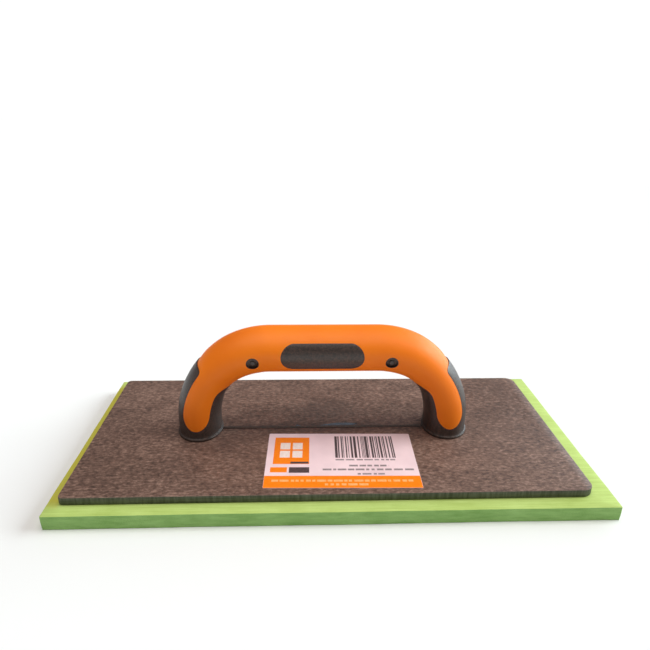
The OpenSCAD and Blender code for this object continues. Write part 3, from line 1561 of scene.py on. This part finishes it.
    def buttons(self) -> Piece:
        """Builds the small round boss in the middle of every pocket."""
        bosses = []
        for eye_x in self.eyes():
            for front in (-1, 1):
                place = self.middle + Vector((eye_x, front * (self.half_d - self.boss_sunk), 0))
                place.z = self.grip_z - self.button_drop
                put_down()
                bpy.ops.mesh.primitive_cylinder_add(
                    vertices=32, radius=self.boss_r, depth=self.boss_l,
                    location=place, rotation=(math.pi / 2, 0, 0),
                )
                boss = added("boss")
                soften(boss, self.boss_round, 3, lambda edge: self.is_rim(boss, edge))
                bosses.append(boss)
        take(*bosses)
        bpy.ops.object.join()
        joined = bpy.context.view_layer.objects.active
        joined.name = "grip_buttons"
        smooth(joined, 40)
        return joined

    def tie_strip(self) -> Piece:
        """Builds the thin half-round strip that joins the two feet on the board."""
        half_w, height = self.tie_w / 2, self.tie_h
        put_down()
        bpy.ops.mesh.primitive_cylinder_add(
            vertices=32, radius=1.0, depth=2 * (self.foot_x - self.half_h / 2),
            location=self.middle, rotation=(0, math.pi / 2, 0),
        )
        bpy.context.view_layer.objects.active.scale = (height, half_w, 1.0)
        strip = added("tie_strip")
        choose(strip, Pick.CORNERS, lambda v: True)
        with editing(strip):
            bpy.ops.mesh.bisect(
                plane_co=self.middle, plane_no=(0, 0, 1), clear_inner=True, use_fill=True,
            )
        smooth(strip, 40)
        return strip

    def dress(self, parts: dict[str, Piece]) -> None:
        """Gives the hard pieces and the soft skin their finishes.

        Args:
            parts: The handle's pieces by name.
        """
        hard = HardPlasticFinish().material()
        coat(parts["skin"], SoftSkinFinish().material())
        for part in ("core", "tie", "buttons"):
            coat(parts[part], hard)
            deliver(parts[part], "dark_plastic", "handle_core")
        deliver(parts["skin"], "orange_skin", "grip_skin")


# ---- The label ----


class Ink(Enum):
    """The inks that the label is printed with."""

    ORANGE = "orange"
    BLACK = "black"
    GREY = "grey"
    WHITE = "white"
    FAINT = "faint"


@dataclass
class PrintedLabel:
    """The paper label: a thin sheet with a plain band, a block with four tiles, bars and dashes."""

    length: float = 80.0 * MM
    width: float = 50.0 * MM
    turn: float = -1.2
    ink_t: float = 0.015 * MM
    corner_round: float = 0.6 * MM
    seed: int = 7
    band: Area = (-39.9, -24.9, 39.9, -15.0)
    mark: Area = (-36.3, -4.7, -17.1, 20.9)
    tile: Span = (5.4, 6.4)
    tile_lefts: Span = (-33.0, -26.2)
    tile_feet: Span = (1.2, 9.0)
    rules: tuple[Area, Area] = ((-27.0, -4.4, -17.4, -2.6), (-27.5, -12.4, -17.0, -7.6))
    tab: Area = (-37.3, -12.0, -28.6, -7.6)
    bar_field: Area = (-3.0, 1.0, 30.5, 22.2)
    band_rows: tuple[Area, ...] = ((-36, -19.9, 36, -18.2), (-9, -23.0, 14, -21.3))
    grey_rows: tuple[Area, ...] = (
        (4, -6.9, 25, -5.4), (-10, -10.3, 38, -8.8), (8, -14.0, 22, -12.7), (-3, -1.4, 29, -0.2),
    )
    dash_runs: tuple[float, ...] = (1.6, 2.4, 3.4, 4.6)
    dash_gaps: tuple[float, ...] = (0.7, 0.9, 1.2)
    bar_runs: tuple[float, ...] = (0.35, 0.35, 0.7, 0.7, 1.05, 1.4)
    bar_gaps: tuple[float, ...] = (0.35, 0.35, 0.7, 1.05)

    def __post_init__(self) -> None:
        """Takes the label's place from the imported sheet."""
        low, high = (Vector(c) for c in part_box("label"))
        self.centre = Vector(((low.x + high.x) / 2, (low.y + high.y) / 2, low.z))
        self.top = high.z
        self.dice = random.Random(self.seed)

    def lay(self, piece: Piece) -> Piece:
        """Turns a piece made square at the origin and lays it on the label's place.

        Args:
            piece: The piece.

        Returns:
            The same piece.
        """
        piece.rotation_euler = (0, 0, math.radians(self.turn))
        piece.location = self.centre
        settle(piece)
        return piece

    def sheet(self) -> Piece:
        """Builds the paper sheet with small rounded corners."""
        half = Vector((self.length / 2, self.width / 2, 0))
        sheet = block("label_sheet", -half, half + Vector((0, 0, self.top - self.centre.z)))
        soften(sheet, self.corner_round, 4, lambda e: is_upright(sheet, e))
        smooth(sheet)
        return self.lay(sheet)

    def patches(self, name: str, areas: list[Area], layer: int = 1) -> Piece:
        """Prints rectangles, all as one thin piece.

        Args:
            name: The piece's name.
            areas: Left, bottom, right and top of each, in millimetres from the label's middle.
            layer: How many layers of ink it stands above the paper.

        Returns:
            The printed piece.
        """
        paper = self.top - self.centre.z
        blocks = []
        for index, (left, bottom, right, top) in enumerate(areas):
            low = Vector((left * MM, bottom * MM, paper - HAIR))
            high = Vector((right * MM, top * MM, paper + layer * self.ink_t))
            blocks.append(block(f"{name}_{index}", low, high))
        take(*blocks)
        if len(blocks) > 1:
            bpy.ops.object.join()
        piece = bpy.context.view_layer.objects.active
        piece.name = name
        piece.data.name = name
        return self.lay(piece)

    def broken(self, field: Area, runs: tuple[float, ...], gaps: tuple[float, ...]) -> list[Area]:
        """Breaks a field of print from left to right into uneven plain pieces.

        Args:
            field: The field.
            runs: The lengths that a piece may have, in millimetres.
            gaps: The gaps that may follow it.

        Returns:
            The pieces, as high as the field.
        """
        at, bottom, right, top = field
        areas = []
        while at < right:
            end = min(at + self.dice.choice(runs), right)
            areas.append((at, bottom, end, top))
            at = end + self.dice.choice(gaps)
        return areas

    def dashes(self, rows: tuple[Area, ...]) -> list[Area]:
        """Fills rows of print with short plain dashes."""
        return [dash for row in rows for dash in self.broken(row, self.dash_runs, self.dash_gaps)]

    def build(self) -> dict[str, tuple[Piece, Ink | None]]:
        """Builds the sheet and everything printed on it; the bars code nothing."""
        tile_w, tile_h = self.tile
        tiles = [(x, y, x + tile_w, y + tile_h) for x in self.tile_lefts for y in self.tile_feet]
        band_print = self.dashes(self.band_rows)
        grey_print = self.dashes(self.grey_rows)
        bars = self.broken(self.bar_field, self.bar_runs, self.bar_gaps)
        made = {"label_sheet": (self.sheet(), None)}
        for name, areas, layer, ink in (
            ("label_band", [self.band], 1, Ink.ORANGE),
            ("label_block", [self.mark], 1, Ink.ORANGE),
            ("label_tiles", tiles, 2, Ink.WHITE),
            ("label_rule", self.rules, 2, Ink.BLACK),
            ("label_tab", [self.tab], 1, Ink.ORANGE),
            ("label_bars", bars, 1, Ink.BLACK),
            ("label_dashes", grey_print, 1, Ink.GREY),
            ("label_band_dashes", band_print, 2, Ink.FAINT),
        ):
            made[name] = (self.patches(name, areas, layer), ink)
        return made

    def dress(self, made: dict[str, tuple[Piece, Ink | None]]) -> None:
        """Gives the paper and each ink its finish.

        Args:
            made: Every piece of the label, with its ink or None for the paper.
        """
        finishes = {
            None: PaperFinish().material(),
            Ink.ORANGE: ORANGE_INK.material(),
            Ink.BLACK: BLACK_INK.material(),
            Ink.GREY: GREY_INK.material(),
            Ink.WHITE: WHITE_INK.material(),
            Ink.FAINT: FAINT_INK.material(),
        }
        for name, (piece, ink) in made.items():
            coat(piece, finishes[ink])
            deliver(piece, "label_paper", *(["label"] if ink is None else []))


# ---- The screws ----


@dataclass
class ScrewSet:
    """The four countersunk screws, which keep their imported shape."""

    def dress(self) -> None:
        """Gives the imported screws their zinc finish."""
        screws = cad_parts["screws"]
        zinc = ZincFinish().material()
        for slot in screws.material_slots:
            slot.material = zinc
        LOG.info("screws: packed shape kept, zinc finish")


# ---- The studio ----


@dataclass
class SkyLight:
    """One broad, even studio light, the same all over the floor."""

    name: str
    source: Vector
    spread: float
    strength: float
    colour: Colour

    def build(self) -> None:
        """Hangs the light so that it shines from its source's direction."""
        lamp = bpy.data.lights.new(self.name, "SUN")
        lamp.energy = self.strength
        lamp.angle = math.radians(self.spread)
        lamp.color = self.colour
        holder = bpy.data.objects.new(self.name, lamp)
        holder.location = 2 * self.source
        holder.rotation_euler = self.source.to_track_quat("Z", "Y").to_euler()
        bpy.context.collection.objects.link(holder)


LIGHTS = (
    SkyLight("key", Vector((0.0, -0.12, 1.0)), 60.0, 1.95, (1.0, 0.93, 0.87)),
    SkyLight("side", Vector((1.0, 0.1, 0.5)), 34.0, 2.45, (0.87, 1.0, 1.0)),
    SkyLight("rim", Vector((0.8, 0.62, 0.24)), 40.0, 1.6, (0.78, 0.92, 1.0)),
)


@dataclass
class Studio:
    """A plain white floor, soft light and the camera."""

    floor_size: float = 12.0
    floor_dip: float = 0.02 * MM
    floor_grey: Colour = (0.855, 0.855, 0.865)
    floor_white: Colour = (0.875, 0.875, 0.885)
    camera_place: Vector = Vector((-0.01603, -0.2942, 0.19099))
    pitch: float = 21.189
    yaw: float = 2.405
    roll: float = 0.65
    lens: float = 31.957
    sensor: float = 36.0
    near_end: float = 0.01
    backdrop: float = 1.05
    sky: float = 0.17
    sky_tint: Colour = (0.97, 0.98, 1.0)

    def floor(self) -> None:
        """Lays the floor, which isn't part of the float."""
        put_down()
        bpy.ops.mesh.primitive_plane_add(size=self.floor_size, location=(0, 0, -self.floor_dip))
        floor = added("studio_floor")
        bench = Bench("white_floor")
        paper = bench.grain(even(300), 2, 0.5)
        bench.colour(bench.mottle(paper, self.floor_grey, self.floor_white))
        bench.set(Roughness=0.95, Specular_IOR_Level=0.0)
        coat(floor, bench.material)

    def lights(self) -> None:
        """Hangs a broad warm light overhead, a strong cooler one at the right, and a low one behind."""
        for light in LIGHTS:
            light.build()

    def surroundings(self) -> None:
        """Gives the studio its even white surroundings, dimmer as light than as backdrop."""
        world = bpy.data.worlds.new("studio")
        world.use_nodes = True
        tree = world.node_tree
        tree.nodes.clear()
        out = tree.nodes.new("ShaderNodeOutputWorld")
        mix = tree.nodes.new("ShaderNodeMixShader")
        seen = tree.nodes.new("ShaderNodeBackground")
        felt = tree.nodes.new("ShaderNodeBackground")
        path = tree.nodes.new("ShaderNodeLightPath")
        seen.inputs["Strength"].default_value = self.backdrop
        seen.inputs["Color"].default_value = (1, 1, 1, 1)
        felt.inputs["Strength"].default_value = self.sky
        felt.inputs["Color"].default_value = (*self.sky_tint, 1)
        tree.links.new(path.outputs["Is Camera Ray"], mix.inputs["Fac"])
        tree.links.new(felt.outputs["Background"], mix.inputs[1])
        tree.links.new(seen.outputs["Background"], mix.inputs[2])
        tree.links.new(mix.outputs["Shader"], out.inputs["Surface"])
        bpy.context.scene.world = world
        bpy.context.scene.view_settings.view_transform = "Standard"

    def camera(self) -> None:
        """Sets up the camera from its place and its three angles."""
        pitch, yaw, roll = (math.radians(angle) for angle in (self.pitch, self.yaw, self.roll))
        level = math.cos(pitch)
        ahead = Vector((math.sin(yaw) * level, math.cos(yaw) * level, -math.sin(pitch)))
        right = Vector((math.cos(yaw), -math.sin(yaw), 0))
        above = right.cross(ahead)
        side = right * math.cos(roll) + above * math.sin(roll)
        top = above * math.cos(roll) - right * math.sin(roll)
        data = bpy.data.cameras.new("camera")
        data.lens = self.lens
        data.sensor_width = self.sensor
        data.clip_start = self.near_end
        camera = bpy.data.objects.new("camera", data)
        turn = Matrix((side, top, -ahead)).transposed().to_4x4()
        camera.matrix_world = Matrix.Translation(self.camera_place) @ turn
        bpy.context.collection.objects.link(camera)
        bpy.context.scene.camera = camera

    def build(self) -> None:
        """Builds the whole studio."""
        self.floor()
        self.lights()
        self.surroundings()
        self.camera()


def main() -> None:
    """Builds the studio and every sub-assembly in order, then dresses the screws."""
    logging.basicConfig(level=logging.INFO, format="%(message)s")
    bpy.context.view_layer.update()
    Studio().build()
    for assembly in (RubberPad(), GlueFilm(), BackingBoard(), ResinDrops(), BowHandle(), PrintedLabel()):
        made = assembly.build()
        assembly.dress(made)
        LOG.info("%s done", type(assembly).__name__)
    ScrewSet().dress()
    put_down()


if __name__ == "__main__":
    main()
